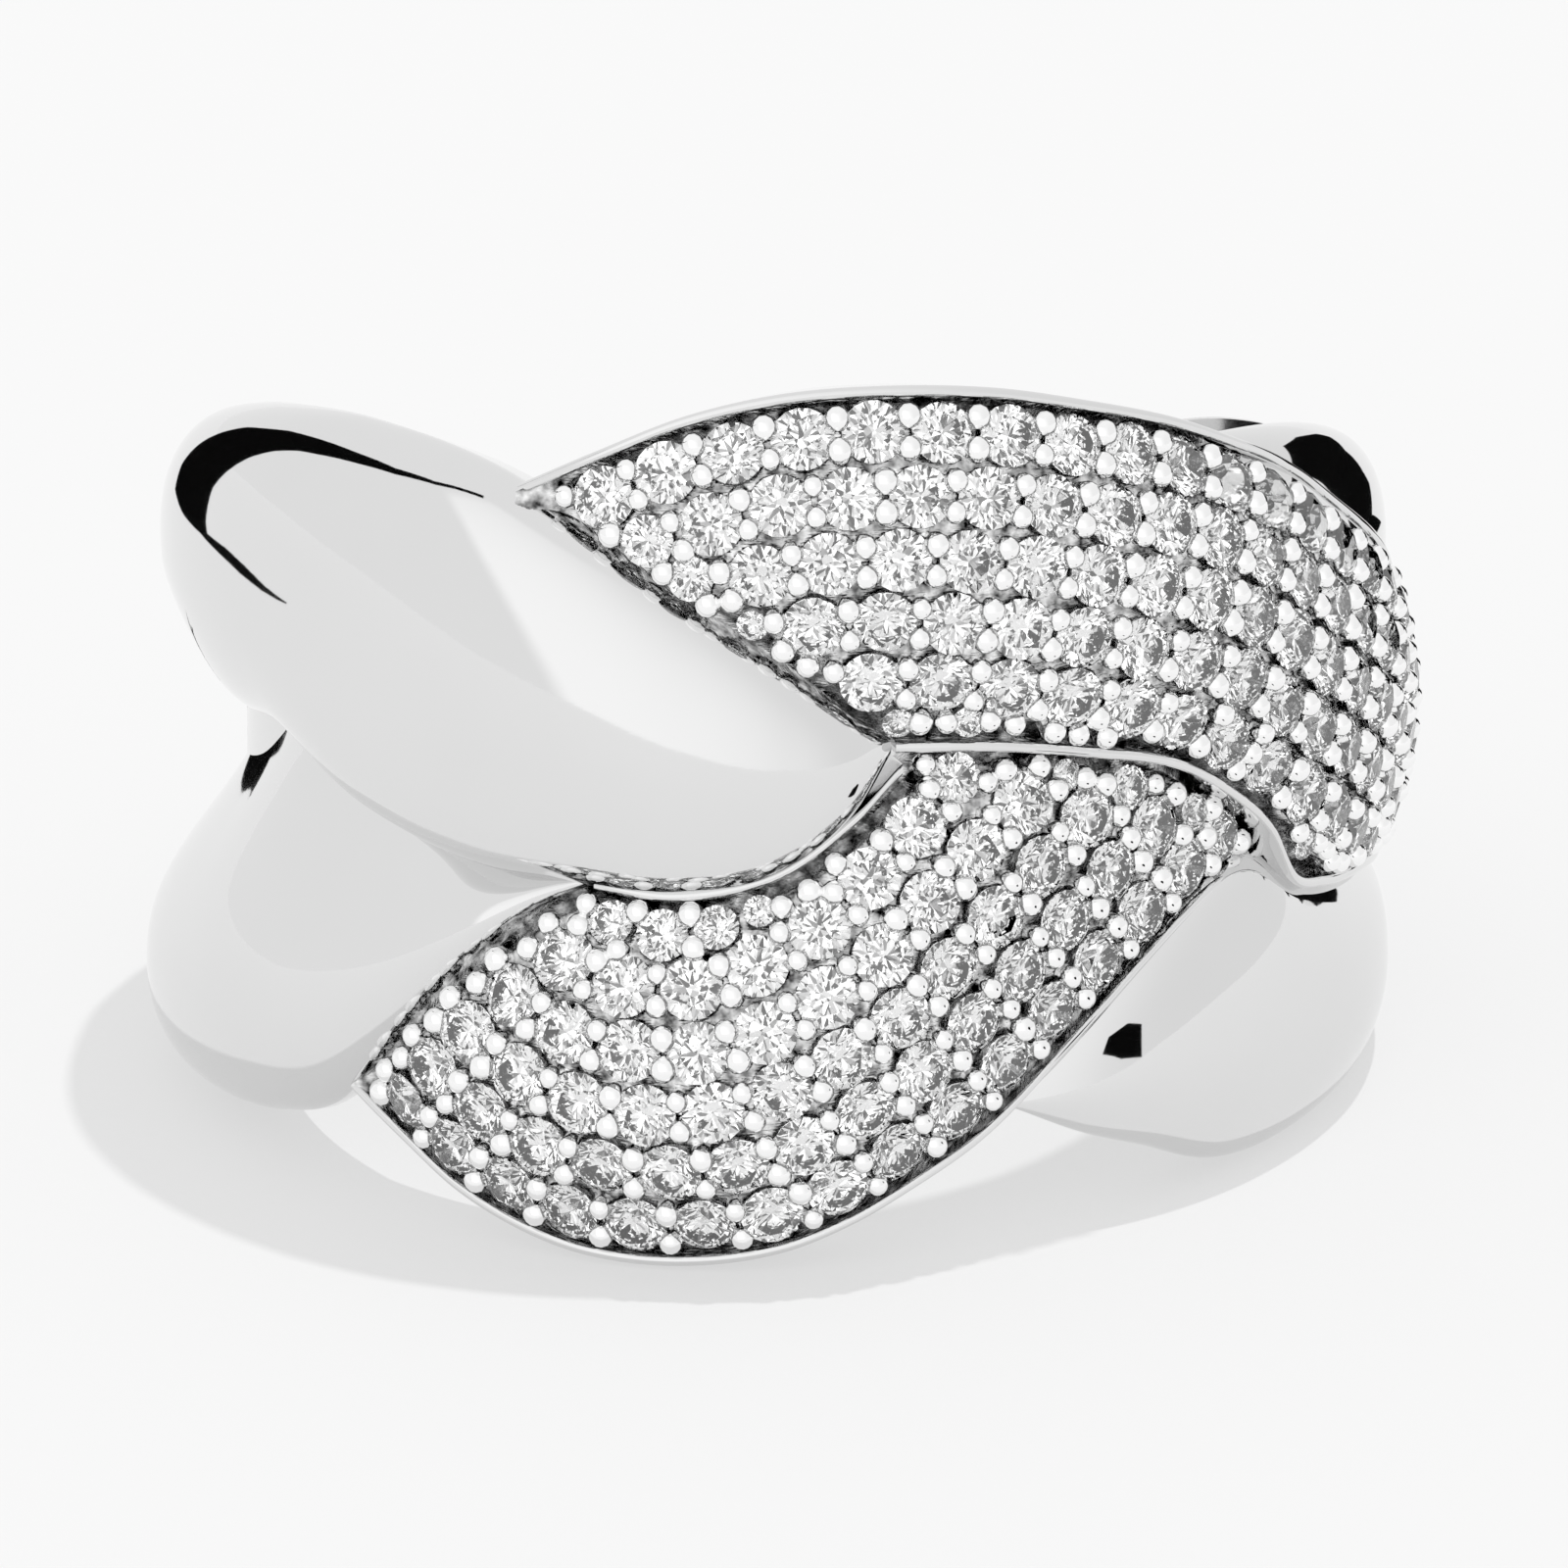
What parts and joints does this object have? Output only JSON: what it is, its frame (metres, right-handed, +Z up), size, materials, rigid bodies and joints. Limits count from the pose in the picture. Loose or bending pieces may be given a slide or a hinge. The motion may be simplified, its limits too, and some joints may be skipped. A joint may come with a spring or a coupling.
{
  "type": "crossover ring",
  "caption": "Finger ring of polished and stone-set bands that cross over one another round the front and meet in a plain shank at the back.",
  "frame": {"origin": "centre of the finger bore, halfway through the band", "axes": "+Z up, square to the surface the ring lies on; the set front of the band faces -Y; +X to the right of one who faces the front"},
  "size_m": [0.0222, 0.0222, 0.0152],
  "materials": {
    "white_metal": "polished white metal",
    "clear_stone": "clear cut stone"
  },
  "bodies": {
    "root": {"band": "white_metal", "upper_stones": "clear_stone", "lower_stones": "clear_stone"}
  },
  "joints": []
}
